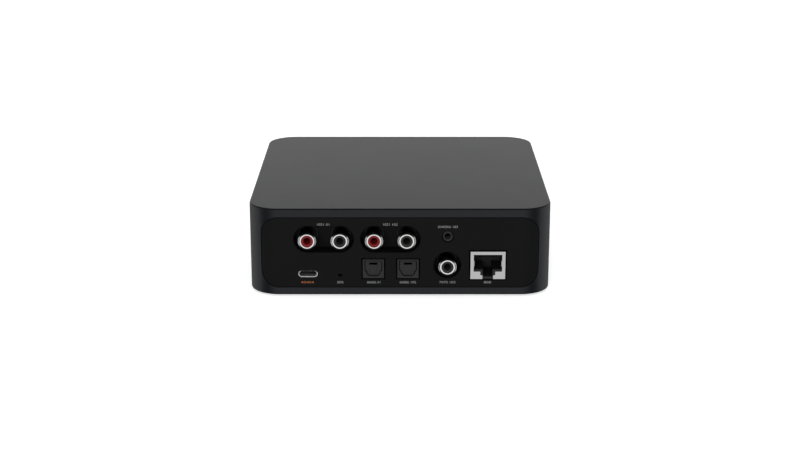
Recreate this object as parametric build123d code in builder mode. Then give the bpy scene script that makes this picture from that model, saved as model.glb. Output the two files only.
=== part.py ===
from build123d import *
import os

# A network music streamer: a low square box with all of its sockets on the rear panel.
# Millimetres. Z is up, the front faces -Y and the rear panel faces +Y.
# The origin is the centre of the rubber foot's underside, on the surface that it stands on.

# Case
body_width = 140.0
body_depth = 140.0
body_height = 41.5
corner_radius = 14.0
wall = 2.5
top_wall = 2.5
top_edge_radius = 0.6
bottom_edge_radius = 0.8
foot_proud = 0.5

# The two face plates, front and rear, that sit in windows of the case and follow it round the corners
window_bottom_margin = 3.86
window_top_margin = 4.3
window_side_margin = 6.1
window_corner_radius = 8.0
plate_gap = 0.3
plate_sink = 0.1
flange_thickness = 1.4
flange_overlap = 1.4
flange_gap = 0.05

# Base, foot and the screws between them
base_thickness = 2.2
base_gap = 0.2
pad_margin = 7.0
pad_thickness = 1.3
pad_gap = 0.1
boss_radius = 3.2
boss_side_inset = 11.5
boss_end_inset = 30.0
base_screw_radius = 1.3
base_screw_head_radius = 2.4
base_screw_head_height = 1.1
base_screw_length = 9.0
thread_gap = 0.03
ballast_thickness = 1.2
ballast_side_margin = 8.0
ballast_front_margin = 4.0
ballast_rear_margin = 27.6
ballast_corner_radius = 3.0

# Boards
board_thickness = 1.6
main_board_side_margin = 18.0
main_board_front_margin = 22.0
main_board_rear_gap = 0.45
main_board_corner_radius = 4.0
under_board_share = 0.35
cup_clearance = 0.4
standoff_radius = 3.0
standoff_inset = 4.0
standoff_rear_inset = 35.6
standoff_front_inset = 10.0
board_screw_radius = 1.25
board_screw_head_radius = 2.2
board_screw_head_height = 1.5
board_screw_bite_share = 0.84
board_hole_radius = 1.4
analog_board_left_x = -31.0
analog_board_side_margin = 21.0
analog_board_depth = 38.0
analog_board_corner_radius = 2.0
spacer_height = 11.4
spacer_radius = 2.5
spacer_stud_length = 2.4
spacer_inset = 4.0
spacer_rear_inset = 16.1
spacer_place_shares = (-0.2875, 0.134)

# Audio sockets: nickelled barrels standing in pockets of the rear panel
rca_spacing = 15.0
line_in_x = 35.1
line_out_x = 4.4
line_rise = 6.35
coax_x = -21.85
coax_rise = 6.9
pocket_radius = 6.3
pocket_depth = 8.9
pocket_floor = 1.5
pocket_wall = 1.2
pocket_edge = 0.25
rca_radius = 4.15
rca_proud = 3.1
rca_rim_chamfer = 0.6
rca_tail_radius = 4.4
rca_tail_depth = 5.0
rca_liner_radius = 2.9
rca_hole_radius = 1.65
rca_liner_sink = 0.4
rca_ridge_radius = 2.35
rca_ridge_width = 0.3
rca_ridge_height = 0.15
rca_grip_wall = 0.5
rca_grip_length = 8.7
rca_plug_depth = 9.0
rca_floor_gap = 0.1
slip_gap = 0.02
line_block_width = 27.0
line_block_height = 12.5
coax_block_width = 10.0
coax_block_headroom = 0.3
rca_block_depth = 13.0
block_edge = 0.5

# Trigger output, a 3.5 mm jack
trigger_x = -22.0
trigger_rise = 7.6
trigger_bore_radius = 1.8
trigger_collar_radius = 2.1
trigger_collar_sink = 0.4
trigger_collar_tail = 3.0
trigger_panel_radius = 2.65
trigger_throat_radius = 2.0
trigger_throat_depth = 11.0
trigger_block_width = 6.0
trigger_block_depth = 13.0
trigger_block_above = 3.0
trigger_leaf_width = 1.2
trigger_leaf_thickness = 0.3
trigger_leaf_length = 6.0
trigger_leaf_sink = 0.4

# Optical sockets, each closed by a sprung shutter hinged along its top edge
optical_in_x = 12.3
optical_out_x = -3.7
optical_width = 9.8
optical_height = 9.05
optical_rise = 0.6
optical_depth = 13.4
optical_panel_gap = 0.5
optical_roof = 0.5
optical_floor = 0.95
mouth_half_width = 4.05
mouth_depth = 9.4
shoulder_rise = 2.85
waist_rise = 2.05
waist_half_width = 3.25
chin_rise = 1.3
lip_half_width = 1.95
shutter_side_gap = 0.35
shutter_sink = 0.5
shutter_thickness = 0.9
shutter_slot_width = 3.8
shutter_slot_height = 1.1
shutter_slot_drop = 0.5
shutter_panel_width = 3.9
shutter_panel_sink = 0.2
shutter_panel_margin = 0.5
knuckle_radius = 0.55
knuckle_gap = 0.1
hinge_pin_radius = 0.25
hinge_running_gap = 0.05
hinge_pin_inset = 0.2
lens_hole_radius = 1.3
lens_radius = 1.2
lens_back_wall = 1.0
module_width = 7.8
module_height = 7.4
module_gap = 0.1
spring_width = 3.0
spring_thickness = 0.15
spring_seat_gap = 0.02
spring_bend_radius = 1.6
spring_flat_length = 3.5
spring_drop = 1.9

# Network socket
lan_x = -40.6
lan_rise = 0.1
lan_width = 16.2
lan_height = 13.4
lan_depth = 21.0
lan_sheet = 0.35
lan_gap = 0.05
lan_panel_gap = 0.5
lan_mouth_half_width = 6.5
lan_mouth_top = 11.75
lan_mouth_sill = 3.75
lan_latch_half_width = 3.4
lan_latch_step = 2.0
lan_tab_half_width = 2.45
lan_insert_sill_rise = 0.9
lan_insert_latch_half_width = 2.2
lan_insert_floor = 1.25
lan_socket_depth = 13.5
lan_contact_count = 8
lan_contact_pitch = 1.02
lan_contact_width = 0.4
lan_contact_thickness = 0.3
lan_groove_width = 0.55
lan_groove_depth = 0.7
lan_contact_front = 2.6
lan_contact_back = 14.5
lan_contact_tip_depth = 11.0
lan_contact_tip_drop = 4.7
lan_contact_bend_radius = 0.5
lan_transformer_width = 16.0
lan_transformer_depth = 10.0
lan_transformer_height = 6.0
lan_transformer_gap = 3.0
lan_transformer_side_inset = 11.4

# Power inlet
usb_rise = 2.35
usb_width = 8.94
usb_thickness = 3.26
usb_sheet = 0.28
usb_depth = 7.3
usb_sink = 1.3
usb_panel_width = 9.4
usb_panel_height = 3.5
usb_leg_thickness = 0.3
usb_leg_length = 1.2
tongue_width = 6.69
tongue_thickness = 0.7
tongue_tip_sink = 0.6
tongue_base_depth = 1.4
usb_contact_count = 12
usb_contact_pitch = 0.5
usb_contact_width = 0.25
usb_contact_thickness = 0.08
usb_contact_length = 3.6
usb_contact_tip = 0.3

# Microphone
mic_rise = 2.2
mic_hole_radius = 0.95
mic_radius = 1.7
mic_length = 2.0
mic_boot_radius = 2.2
mic_boot_lip = 0.8

# Wireless and processor module, and the parts soldered to the boards
module_board_width = 28.0
module_board_depth = 28.0
module_board_thickness = 1.0
module_board_x = 6.0
module_board_front_inset = 16.0
can_width = 24.0
can_depth = 23.0
can_height = 2.4
can_sheet = 0.25
can_edge = 0.4
converter_width = 7.0
converter_thickness = 1.1
converter_inset = 28.0
converter_place_shares = (-0.0575, 0.326)
amplifier_place_share = 0.134
amplifier_width = 4.4
chip_width = 6.0
chip_thickness = 1.0
chip_row_inset = 12.0
chip_place_shares = (-0.25, -0.06, 0.13, 0.32)
capacitor_radius = 3.15
capacitor_height = 6.5
capacitor_base_height = 0.8
capacitor_inset = 18.4
capacitor_place_shares = (-0.1825, -0.0575, 0.326, 0.451)
capacitor_edge = 0.5
inductor_width = 6.0
inductor_height = 3.2
inductor_pitch = 9.0
inductor_count = 3
inductor_rear_inset = 13.6
inductor_side_inset = 12.0
inductor_corner_radius = 1.2
header_x = 8.0
header_inset = 5.0
header_width = 26.0
header_depth = 5.0
header_plug_height = 3.0
header_plug_inset = 1.0
antenna_width = 16.0
antenna_height = 7.0
antenna_thickness = 0.3
antenna_foot = 3.0
antenna_side_inset = 10.0
antenna_front_inset = 2.0

# Front: touch board, status light and the ribbon from the main board
touch_board_side_margin = 15.9
touch_board_end_margin = 4.67
touch_board_thickness = 1.0
touch_board_corner_radius = 2.0
light_radius = 0.9
light_gap = 0.05
led_width = 3.0
led_height = 1.6
led_thickness = 1.0
ribbon_width = 12.0
ribbon_thickness = 0.3
ribbon_x = -12.0
ribbon_bend_radius = 2.5
ribbon_slack = 4.0
connector_width = 15.0
connector_depth = 4.5
connector_height = 2.4
connector_edge = 0.3
connector_inset = 2.0

overrun = 1.0

# Places worked out from the sizes above
body_bottom = foot_proud
rear_y = body_depth / 2
front_y = -body_depth / 2
ceiling_z = body_bottom + body_height - top_wall
base_top = body_bottom + base_thickness
pad_top = pad_thickness
pad_width = body_width - 2 * pad_margin
pad_depth = body_depth - 2 * pad_margin
pad_corner_radius = corner_radius - pad_margin
plate_depth = wall + flange_gap + flange_thickness
plate_back_y = rear_y - plate_depth
rear_face_y = rear_y - plate_sink
window_width = body_width - 2 * window_side_margin
window_height = body_height - window_bottom_margin - window_top_margin
window_z = body_bottom + window_bottom_margin + window_height / 2
boss_x = body_width / 2 - boss_side_inset
boss_y = body_depth / 2 - boss_end_inset
cup_radius = pocket_radius + pocket_wall

# The stack from the base plate up to the ceiling, and how its spare height is shared out
stack_height = base_thickness + ballast_thickness + 2 * board_thickness
stack_height += spacer_height + line_rise + cup_radius
spare_height = body_height - top_wall - stack_height
main_bottom = base_top + ballast_thickness + under_board_share * spare_height
main_top = main_bottom + board_thickness
board_screw_length = board_thickness + board_screw_bite_share * (main_bottom - base_top)
analog_bottom = main_top + spacer_height
analog_top = analog_bottom + board_thickness
main_rear_y = plate_back_y - main_board_rear_gap
main_front_y = front_y + main_board_front_margin
main_half_width = body_width / 2 - main_board_side_margin
pocket_floor_y = rear_y - pocket_depth
pocket_back_y = pocket_floor_y - pocket_floor
analog_rear_y = pocket_back_y - pocket_floor
analog_front_y = analog_rear_y - analog_board_depth
analog_right_x = body_width / 2 - analog_board_side_margin
analog_width = analog_right_x - analog_board_left_x
analog_x = (analog_right_x + analog_board_left_x) / 2
line_z = analog_top + line_rise
coax_z = main_top + coax_rise
rca_end_y = rear_y + rca_proud
rca_tail_y = pocket_back_y - rca_tail_depth
half_spacing = rca_spacing / 2


# Planes and outlines shared by several pieces

def upright(y):
    """An upright plane at depth y: x runs along X and y along Z, and extruding runs towards the front."""
    return Plane.XZ.offset(-y)


def plan_outline(inset, mode=Mode.ADD):
    """The case seen from above, drawn in by inset all round."""
    width = body_width - 2 * inset
    depth = body_depth - 2 * inset
    RectangleRounded(width, depth, corner_radius - inset, mode=mode)


def window_outline(margin):
    """The rounded window of a face plate, grown by margin."""
    with Locations((0, window_z)):
        RectangleRounded(window_width + 2 * margin, window_height + 2 * margin, window_corner_radius + margin)


def stadium(x, z, radius):
    """A pocket outline round the two barrels of a line socket."""
    with Locations((x, z)):
        SlotCenterToCenter(rca_spacing, 2 * radius)


def write(piece, label):
    """Names a finished piece and writes its file."""
    piece.part.label = label
    export_step(piece.part, f"parts/{label}.step")


os.makedirs("parts", exist_ok=True)


# Case shell: one moulding, open below, with a window at each end and four screw bosses from its top

def window_cutter(side):
    """Cuts a face plate's window through the front (side -1) or the rear (side 1) wall."""
    with BuildSketch(upright(side * (rear_y + overrun))) as window:
        window_outline(plate_gap)
    extrude(window.sketch, amount=side * (corner_radius + overrun), mode=Mode.SUBTRACT)


with BuildPart() as case_shell:
    with BuildSketch(Plane.XY.offset(body_bottom)):
        plan_outline(0)
    extrude(amount=body_height)
    fillet(case_shell.faces().sort_by(Axis.Z)[-1].edges(), radius=top_edge_radius)
    fillet(case_shell.faces().sort_by(Axis.Z)[0].edges(), radius=bottom_edge_radius)
    with BuildSketch(Plane.XY.offset(body_bottom - overrun)):
        plan_outline(wall)
    extrude(amount=body_height - top_wall + overrun, mode=Mode.SUBTRACT)
    window_cutter(1)
    window_cutter(-1)
    with BuildSketch(Plane.XY.offset(base_top)):
        with GridLocations(2 * boss_x, 2 * boss_y, 2, 2):
            Circle(boss_radius)
    extrude(amount=ceiling_z - base_top)
    with BuildSketch(Plane.XY.offset(base_top)):
        with GridLocations(2 * boss_x, 2 * boss_y, 2, 2):
            Circle(base_screw_radius + thread_gap)
    extrude(amount=base_screw_length, mode=Mode.SUBTRACT)
write(case_shell, "case_shell")


# Face plates: a plate flush in the window, with a flange behind it against the case's inner wall

def plate_ring(side, outer_inset, inner_inset, margin):
    """The wall between two insets of the case's outline, kept where the window grown by margin is."""
    with BuildPart() as ring:
        with BuildSketch(Plane.XY):
            plan_outline(outer_inset)
            plan_outline(inner_inset, mode=Mode.SUBTRACT)
        extrude(amount=body_bottom + body_height)
        with BuildSketch(upright(side * (rear_y + overrun))):
            window_outline(margin)
        extrude(amount=side * (corner_radius + overrun), mode=Mode.INTERSECT)
    return ring.part


def plate_blank(side):
    """Adds a whole face plate, with its flange, to the piece being made."""
    add(plate_ring(side, plate_sink, plate_depth, 0))
    add(plate_ring(side, wall + flange_gap, plate_depth, flange_overlap))


usb_x = line_in_x + half_spacing
usb_z = main_top + usb_rise
mic_x = line_in_x - half_spacing
mic_z = main_top + mic_rise
trigger_z = analog_top + trigger_rise
optical_low_z = main_top + optical_rise
optical_z = optical_low_z + optical_height / 2
optical_xs = (optical_in_x, optical_out_x)
lan_low_z = main_top + lan_rise
lan_z = lan_low_z + lan_height / 2

with BuildPart() as rear_panel:
    plate_blank(1)
    with BuildSketch(upright(rear_y - wall)):
        stadium(line_in_x, line_z, cup_radius)
        stadium(line_out_x, line_z, cup_radius)
        with Locations((coax_x, coax_z)):
            Circle(cup_radius)
    extrude(amount=rear_y - wall - pocket_back_y)
    with BuildSketch(upright(rear_y + overrun)):
        stadium(line_in_x, line_z, pocket_radius)
        stadium(line_out_x, line_z, pocket_radius)
        with Locations((coax_x, coax_z)):
            Circle(pocket_radius)
    extrude(amount=pocket_depth + overrun, mode=Mode.SUBTRACT)
    with BuildSketch(upright(rear_y + overrun)):
        for pair_x in (line_in_x, line_out_x):
            with Locations((pair_x - half_spacing, line_z), (pair_x + half_spacing, line_z)):
                Circle(rca_tail_radius + rca_floor_gap)
        with Locations((coax_x, coax_z)):
            Circle(rca_tail_radius + rca_floor_gap)
        with Locations((trigger_x, trigger_z)):
            Circle(trigger_panel_radius)
        with Locations((mic_x, mic_z)):
            Circle(mic_hole_radius)
        with Locations((usb_x, usb_z)):
            SlotOverall(usb_panel_width, usb_panel_height)
        with Locations((lan_x, lan_z)):
            Rectangle(lan_width + 2 * lan_panel_gap, lan_height + 2 * lan_panel_gap)
        for optical_x in optical_xs:
            with Locations((optical_x, optical_z)):
                Rectangle(optical_width + 2 * optical_panel_gap, optical_height + 2 * optical_panel_gap)
    extrude(amount=overrun + pocket_depth + 2 * pocket_floor, mode=Mode.SUBTRACT)
    front_of_panel = rear_panel.faces().sort_by(Axis.Y)[-1]
    mouths = ShapeList(edge for wire in front_of_panel.inner_wires() for edge in wire.edges())
    wide_mouths = mouths.filter_by(lambda edge: edge.length > pocket_radius)
    chamfer(wide_mouths, length=pocket_edge)
write(rear_panel, "rear_panel")

with BuildPart() as front_window:
    plate_blank(-1)
    with BuildSketch(upright(front_y - overrun)):
        with Locations((0, window_z)):
            Circle(light_radius + light_gap)
    extrude(amount=-(plate_depth + 2 * overrun), mode=Mode.SUBTRACT)
write(front_window, "front_window")


# Screws: a turned head and shank, used for the base and for the boards

def countersunk_screw(length):
    """A countersunk screw along +Z with its flat head face at the origin."""
    with BuildPart() as screw:
        with BuildSketch(Plane.XZ):
            with BuildLine():
                Polyline(
                    (0, 0),
                    (base_screw_head_radius, 0),
                    (base_screw_radius, base_screw_head_height),
                    (base_screw_radius, length),
                    (0, length),
                    close=True,
                )
            make_face()
        revolve(axis=Axis.Z)
    return screw.part


def pan_screw():
    """A pan-headed screw along -Z with the underside of its head at the origin."""
    with BuildPart() as screw:
        with BuildSketch(Plane.XY):
            Circle(board_screw_head_radius)
        extrude(amount=board_screw_head_height)
        fillet(screw.edges().group_by(Axis.Z)[-1], radius=block_edge)
        with BuildSketch(Plane.XY):
            Circle(board_screw_radius)
        extrude(amount=-board_screw_length)
    return screw.part


base_screw = countersunk_screw(base_screw_length)
with BuildPart() as base_screws:
    with Locations(Plane.XY.offset(pad_top)):
        with GridLocations(2 * boss_x, 2 * boss_y, 2, 2):
            add(base_screw)
write(base_screws, "base_screws")


# Base plate: closes the case from below, carries the main board on four posts

standoff_x = main_half_width - standoff_inset
standoff_front_y = main_front_y + standoff_front_inset
standoff_rear_y = main_rear_y - standoff_rear_inset
standoff_places = [(side * standoff_x, y) for side in (-1, 1) for y in (standoff_front_y, standoff_rear_y)]

with BuildPart() as base_plate:
    with BuildSketch(Plane.XY.offset(body_bottom)):
        plan_outline(wall + base_gap)
    extrude(amount=base_thickness)
    with BuildSketch(Plane.XY.offset(body_bottom)):
        RectangleRounded(pad_width + 2 * pad_gap, pad_depth + 2 * pad_gap, pad_corner_radius + pad_gap)
    extrude(amount=pad_top - body_bottom, mode=Mode.SUBTRACT)
    with BuildSketch(Plane.XY.offset(base_top)):
        with Locations(*standoff_places):
            Circle(standoff_radius)
    extrude(amount=main_bottom - base_top)
    with BuildSketch(Plane.XY.offset(main_bottom)):
        with Locations(*standoff_places):
            Circle(board_screw_radius + thread_gap)
    extrude(amount=-(main_bottom - base_top), mode=Mode.SUBTRACT)
    with BuildSketch(Plane.XY.offset(pad_top)):
        with GridLocations(2 * boss_x, 2 * boss_y, 2, 2):
            Circle(base_screw_head_radius + thread_gap)
    extrude(amount=base_top - pad_top, mode=Mode.SUBTRACT)
write(base_plate, "base_plate")

with BuildPart() as foot_pad:
    with BuildSketch(Plane.XY):
        RectangleRounded(pad_width, pad_depth, pad_corner_radius)
    extrude(amount=pad_thickness)
    fillet(foot_pad.faces().sort_by(Axis.Z)[0].edges(), radius=foot_proud / 2)
write(foot_pad, "foot_pad")

ballast_width = 2 * (main_half_width - ballast_side_margin)
ballast_front_y = main_front_y + ballast_front_margin
ballast_rear_y = main_rear_y - ballast_rear_margin
with BuildPart() as ballast_plate:
    with BuildSketch(Plane.XY.offset(base_top)):
        with Locations((0, (ballast_front_y + ballast_rear_y) / 2)):
            RectangleRounded(ballast_width, ballast_rear_y - ballast_front_y, ballast_corner_radius)
    extrude(amount=ballast_thickness)
write(ballast_plate, "ballast_plate")


# Main board: lies between the bosses and clears the cup of the coaxial socket

def analog_places(shares, y):
    """Places across the analogue board, each a share of its width from its middle, at depth y."""
    return [(analog_x + share * analog_width, y) for share in shares]


spacer_places = [
    (analog_board_left_x + spacer_inset, analog_front_y + spacer_inset),
    (analog_right_x - spacer_inset, analog_front_y + spacer_inset),
    *analog_places(spacer_place_shares, analog_rear_y - spacer_rear_inset),
]

main_board_depth = main_rear_y - main_front_y
main_board_y = (main_rear_y + main_front_y) / 2
cup_notch_depth = main_rear_y - pocket_back_y + cup_clearance

with BuildPart() as main_board:
    with BuildSketch(Plane.XY.offset(main_bottom)):
        with Locations((0, main_board_y)):
            RectangleRounded(2 * main_half_width, main_board_depth, main_board_corner_radius)
        with Locations((coax_x, main_rear_y - cup_notch_depth / 2 + overrun / 2)):
            Rectangle(
                2 * (cup_radius + cup_clearance),
                cup_notch_depth + overrun,
                mode=Mode.SUBTRACT,
            )
        with Locations(*standoff_places):
            Circle(board_hole_radius, mode=Mode.SUBTRACT)
        with Locations(*spacer_places):
            Circle(board_hole_radius, mode=Mode.SUBTRACT)
    extrude(amount=board_thickness)
write(main_board, "main_board")


# Analogue board above it, on four spacers whose studs go through the main board

with BuildPart() as board_spacers:
    with BuildSketch(Plane.XY.offset(main_top)):
        with Locations(*spacer_places):
            RegularPolygon(spacer_radius, 6)
    extrude(amount=analog_bottom - main_top)
    with BuildSketch(Plane.XY.offset(main_top)):
        with Locations(*spacer_places):
            Circle(board_screw_radius)
    extrude(amount=-spacer_stud_length)
    with BuildSketch(Plane.XY.offset(analog_bottom)):
        with Locations(*spacer_places):
            Circle(board_screw_radius + thread_gap)
    extrude(amount=-board_screw_length, mode=Mode.SUBTRACT)
write(board_spacers, "board_spacers")

with BuildPart() as analog_board:
    with BuildSketch(Plane.XY.offset(analog_bottom)):
        with Locations((analog_x, (analog_rear_y + analog_front_y) / 2)):
            RectangleRounded(analog_width, analog_board_depth, analog_board_corner_radius)
        with Locations(*spacer_places):
            Circle(board_hole_radius, mode=Mode.SUBTRACT)
    extrude(amount=board_thickness)
write(analog_board, "analog_board")

board_screw = pan_screw()
with BuildPart() as board_screws:
    with Locations(*[(x, y, main_top) for x, y in standoff_places]):
        add(board_screw)
    with Locations(*[(x, y, analog_top) for x, y in spacer_places]):
        add(board_screw)
write(board_screws, "board_screws")


# Line and coaxial sockets: each barrel stands in its pocket, and its tail sits in a block behind the panel

def rca_block(x, z, barrel_xs, block_bottom, width, height):
    """The moulded block behind the panel that holds the tails of the barrels."""
    with BuildPart() as block:
        with BuildSketch(upright(pocket_back_y)):
            with Locations((x, block_bottom + height / 2)):
                Rectangle(width, height)
        extrude(amount=rca_block_depth)
        fillet(block.edges().filter_by(Axis.Y), radius=block_edge)
        with BuildSketch(upright(pocket_back_y)):
            with Locations(*[(barrel_x, z) for barrel_x in barrel_xs]):
                Circle(rca_tail_radius + slip_gap)
        extrude(amount=rca_tail_depth, mode=Mode.SUBTRACT)
    return block


def rca_barrels(barrel_xs, z):
    """Turned barrels with a chamfered rim, and a slightly fatter tail from the pocket's floor inwards."""
    places = [(barrel_x, z) for barrel_x in barrel_xs]
    with BuildPart() as barrels:
        with BuildSketch(upright(rca_end_y)):
            with Locations(*places):
                Circle(rca_radius)
        extrude(amount=rca_end_y - pocket_floor_y)
        chamfer(barrels.edges().group_by(Axis.Y)[-1], length=rca_rim_chamfer)
        with BuildSketch(upright(pocket_floor_y)):
            with Locations(*places):
                Circle(rca_tail_radius)
        extrude(amount=pocket_floor_y - rca_tail_y)
        with BuildSketch(upright(rca_end_y + overrun)):
            with Locations(*places):
                Circle(rca_liner_radius)
        extrude(amount=rca_end_y - rca_tail_y + 2 * overrun, mode=Mode.SUBTRACT)
    return barrels


liner_face_y = rca_end_y - rca_liner_sink
grip_front_y = liner_face_y - rca_plug_depth
grip_radius = rca_hole_radius + rca_grip_wall


def rca_liner(x, z):
    """The coloured insulator inside a barrel, with a fine raised ring on its face."""
    with BuildPart() as liner:
        with BuildSketch(upright(liner_face_y)):
            with Locations((x, z)):
                Circle(rca_liner_radius - slip_gap)
                Circle(rca_hole_radius, mode=Mode.SUBTRACT)
        extrude(amount=liner_face_y - rca_tail_y)
        with BuildSketch(upright(liner_face_y)):
            with Locations((x, z)):
                Circle(rca_ridge_radius)
                Circle(rca_ridge_radius - rca_ridge_width, mode=Mode.SUBTRACT)
        extrude(amount=-rca_ridge_height)
        with BuildSketch(upright(rca_tail_y)):
            with Locations((x, z)):
                Circle(grip_radius + slip_gap)
        extrude(amount=-(grip_front_y - rca_tail_y), mode=Mode.SUBTRACT)
    return liner


def rca_grips(barrel_xs, z):
    """The spring sleeves deep in the insulators that grip the plugs' centre pins."""
    with BuildPart() as grips:
        with BuildSketch(upright(grip_front_y)):
            with Locations(*[(barrel_x, z) for barrel_x in barrel_xs]):
                Circle(grip_radius)
                Circle(rca_hole_radius, mode=Mode.SUBTRACT)
        extrude(amount=rca_grip_length)
    return grips


for pair, pair_x in (("line_in", line_in_x), ("line_out", line_out_x)):
    right_x = pair_x + half_spacing
    left_x = pair_x - half_spacing
    pair_xs = (right_x, left_x)
    block = rca_block(pair_x, line_z, pair_xs, analog_top, line_block_width, line_block_height)
    write(block, f"{pair}_block")
    write(rca_barrels(pair_xs, line_z), f"{pair}_barrels")
    write(rca_liner(right_x, line_z), f"{pair}_red_insulator")
    write(rca_liner(left_x, line_z), f"{pair}_black_insulator")
    write(rca_grips(pair_xs, line_z), f"{pair}_centre_contacts")

coax_block_height = spacer_height - coax_block_headroom
coax_block = rca_block(coax_x, coax_z, (coax_x,), main_top, coax_block_width, coax_block_height)
write(coax_block, "coax_block")
write(rca_barrels((coax_x,), coax_z), "coax_barrel")
write(rca_liner(coax_x, coax_z), "coax_insulator")
write(rca_grips((coax_x,), coax_z), "coax_centre_contact")


# Trigger output: a tall block on the analogue board, cut away over the cup of the coaxial socket,
# a collar in the panel and two contact leaves

trigger_block_top = trigger_z + trigger_block_above
trigger_tail_y = plate_back_y - trigger_collar_tail
leaf_offset = trigger_throat_radius - trigger_leaf_sink
leaf_places = [(trigger_x - leaf_offset, trigger_z), (trigger_x + leaf_offset, trigger_z)]

with BuildPart() as trigger_block:
    with BuildSketch(upright(plate_back_y)):
        with Locations((trigger_x, (trigger_block_top + analog_top) / 2)):
            Rectangle(trigger_block_width, trigger_block_top - analog_top)
    extrude(amount=trigger_block_depth)
    fillet(trigger_block.edges().filter_by(Axis.Y), radius=block_edge)
    with BuildSketch(upright(plate_back_y)):
        with Locations((trigger_x, trigger_z)):
            Circle(trigger_collar_radius + slip_gap)
    extrude(amount=trigger_collar_tail, mode=Mode.SUBTRACT)
    with BuildSketch(upright(trigger_tail_y)):
        with Locations((trigger_x, trigger_z)):
            Circle(trigger_throat_radius)
    extrude(amount=trigger_throat_depth - trigger_collar_tail, mode=Mode.SUBTRACT)
    with BuildSketch(upright(plate_back_y)):
        with Locations((coax_x, coax_z)):
            Circle(cup_radius + cup_clearance)
    extrude(amount=plate_back_y - pocket_back_y + cup_clearance, mode=Mode.SUBTRACT)
write(trigger_block, "trigger_block")

with BuildPart() as trigger_collar:
    with BuildSketch(upright(rear_y - trigger_collar_sink)):
        with Locations((trigger_x, trigger_z)):
            Circle(trigger_collar_radius)
            Circle(trigger_bore_radius, mode=Mode.SUBTRACT)
    extrude(amount=rear_y - trigger_collar_sink - trigger_tail_y)
write(trigger_collar, "trigger_collar")

with BuildPart() as trigger_contacts:
    with BuildSketch(upright(trigger_tail_y - trigger_leaf_sink)):
        with Locations(*leaf_places):
            Rectangle(trigger_leaf_thickness, trigger_leaf_width)
    extrude(amount=trigger_leaf_length)
write(trigger_contacts, "trigger_contacts")


# Optical sockets: housing, shutter, hinge pin, leaf spring and the optical module in the back

optical_face_y = rear_face_y
optical_high_z = optical_low_z + optical_height
optical_back_y = optical_face_y - optical_depth
mouth_top_z = optical_high_z - optical_roof
mouth_floor_z = optical_low_z + optical_floor
mouth_back_y = optical_face_y - mouth_depth
module_front_y = mouth_back_y - lens_back_wall
shutter_face_y = optical_face_y - shutter_sink
hinge_y = shutter_face_y - shutter_thickness / 2
hinge_z = mouth_top_z - knuckle_gap - knuckle_radius
mouth_mid_z = (mouth_top_z + mouth_floor_z) / 2


def mouth_outline(x):
    """The socket's mouth: straight sides that draw in twice, to a waist and to a narrow lip."""
    half = [
        (mouth_half_width, mouth_top_z),
        (mouth_half_width, mouth_floor_z + shoulder_rise),
        (waist_half_width, mouth_floor_z + waist_rise),
        (waist_half_width, mouth_floor_z + chin_rise),
        (lip_half_width, mouth_floor_z),
    ]
    right = [(x + across, z) for across, z in half]
    left = [(x - across, z) for across, z in reversed(half)]
    Polygon(*right, *left, align=None)


def optical_housing(x):
    with BuildPart() as housing:
        with BuildSketch(upright(optical_face_y)):
            with Locations((x, optical_z)):
                Rectangle(optical_width, optical_height)
        extrude(amount=optical_depth)
        with BuildSketch(Plane.XY.offset(main_top)):
            with Locations((x, (optical_back_y + main_rear_y) / 2)):
                Rectangle(mouth_half_width * 2, main_rear_y - optical_back_y)
        extrude(amount=optical_low_z - main_top)
        with BuildSketch(upright(optical_face_y)):
            mouth_outline(x)
        extrude(amount=mouth_depth, mode=Mode.SUBTRACT)
        with BuildSketch(upright(mouth_back_y)):
            with Locations((x, mouth_mid_z)):
                Circle(lens_hole_radius)
        extrude(amount=lens_back_wall, mode=Mode.SUBTRACT)
        with BuildSketch(upright(module_front_y)):
            with Locations((x, mouth_mid_z)):
                Rectangle(module_width + 2 * module_gap, module_height + 2 * module_gap)
        extrude(amount=module_front_y - optical_back_y, mode=Mode.SUBTRACT)
        with BuildSketch(Plane.YZ.offset(x - optical_width / 2)):
            with Locations((hinge_y, hinge_z)):
                Circle(hinge_pin_radius + slip_gap)
        extrude(amount=optical_width, mode=Mode.SUBTRACT)
    return housing


def optical_shutter(x):
    slot_z = hinge_z - shutter_slot_drop - shutter_slot_height / 2
    panel_top_z = slot_z - shutter_slot_height / 2
    panel_floor_z = mouth_floor_z + shutter_panel_margin + shutter_side_gap
    with BuildPart() as shutter:
        with BuildSketch(upright(shutter_face_y)):
            mouth_outline(x)
            offset(amount=-shutter_side_gap, kind=Kind.INTERSECTION)
            with Locations((x, hinge_z)):
                Rectangle(
                    mouth_half_width * 2,
                    mouth_top_z - hinge_z,
                    align=(Align.CENTER, Align.MIN),
                    mode=Mode.SUBTRACT,
                )
        extrude(amount=shutter_thickness)
        with BuildSketch(Plane.YZ.offset(x - mouth_half_width + shutter_side_gap)):
            with Locations((hinge_y, hinge_z)):
                Circle(knuckle_radius)
        extrude(amount=2 * (mouth_half_width - shutter_side_gap))
        with BuildSketch(upright(shutter_face_y)):
            with Locations((x, (panel_top_z + panel_floor_z) / 2)):
                Rectangle(shutter_panel_width, panel_top_z - panel_floor_z)
        extrude(amount=shutter_panel_sink, mode=Mode.SUBTRACT)
        with BuildSketch(upright(shutter_face_y)):
            with Locations((x, slot_z)):
                Rectangle(shutter_slot_width, shutter_slot_height)
        extrude(amount=shutter_thickness, mode=Mode.SUBTRACT)
        with BuildSketch(Plane.YZ.offset(x - mouth_half_width)):
            with Locations((hinge_y, hinge_z)):
                Circle(hinge_pin_radius + hinge_running_gap)
        extrude(amount=2 * mouth_half_width, mode=Mode.SUBTRACT)
    return shutter


def optical_hinge_pin(x):
    with BuildPart() as hinge_pin:
        with BuildSketch(Plane.YZ.offset(x - optical_width / 2 + hinge_pin_inset)):
            with Locations((hinge_y, hinge_z)):
                Circle(hinge_pin_radius)
        extrude(amount=optical_width - 2 * hinge_pin_inset)
    return hinge_pin


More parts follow.
